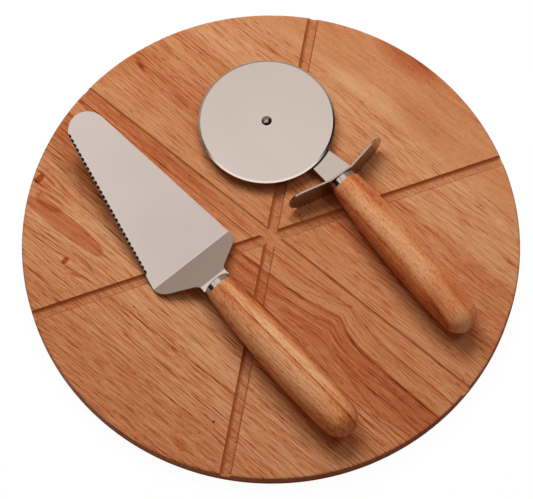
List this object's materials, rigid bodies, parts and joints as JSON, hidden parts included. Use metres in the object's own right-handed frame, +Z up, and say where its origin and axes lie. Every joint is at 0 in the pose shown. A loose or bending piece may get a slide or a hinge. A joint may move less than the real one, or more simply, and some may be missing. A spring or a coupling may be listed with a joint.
{
  "type": "pizza serving board",
  "caption": "Round wooden pizza board with slice grooves across its top, shown with a pizza wheel cutter and a serrated server lying on it.",
  "frame": {"origin": "centre of the board's flat underside", "axes": "+Z up out of the board's grooved face, +Y away from the viewer in the picture, +X to the viewer's right"},
  "size_m": [0.33, 0.33, 0.0415],
  "materials": {
    "board_wood": "oiled, matt",
    "handle_wood": "varnished, satin",
    "blade_steel": "fine satin",
    "polished_steel": "polished"
  },
  "bodies": {
    "board": {"board_stave_1": "board_wood", "board_stave_2": "board_wood", "board_stave_3": "board_wood", "board_stave_4": "board_wood", "board_stave_5": "board_wood"},
    "cutter": {"wheel_rivet": "polished_steel", "wheel_washer": "blade_steel", "cutter_arm": "blade_steel", "finger_guard": "polished_steel", "cutter_ferrule": "polished_steel", "cutter_handle": "handle_wood"},
    "wheel": {"cutter_wheel": "blade_steel"},
    "server": {"server_blade": "blade_steel", "server_ferrule": "polished_steel", "server_handle": "handle_wood"}
  },
  "joints": [
    {"name": "cutter_lift", "type": "slide", "parent": "board", "child": "cutter", "axis": [0, 0, 1], "range_m": [0, 0.12]},
    {"name": "wheel_spin", "type": "hinge", "parent": "cutter", "child": "wheel", "pos_m": [-0.0036, 0.0804, 0.02021], "axis": [-0.0246, 0.0317, 0.9992], "continuous": true},
    {"name": "server_lift", "type": "slide", "parent": "board", "child": "server", "axis": [0, 0, 1], "range_m": [0, 0.12]}
  ]
}
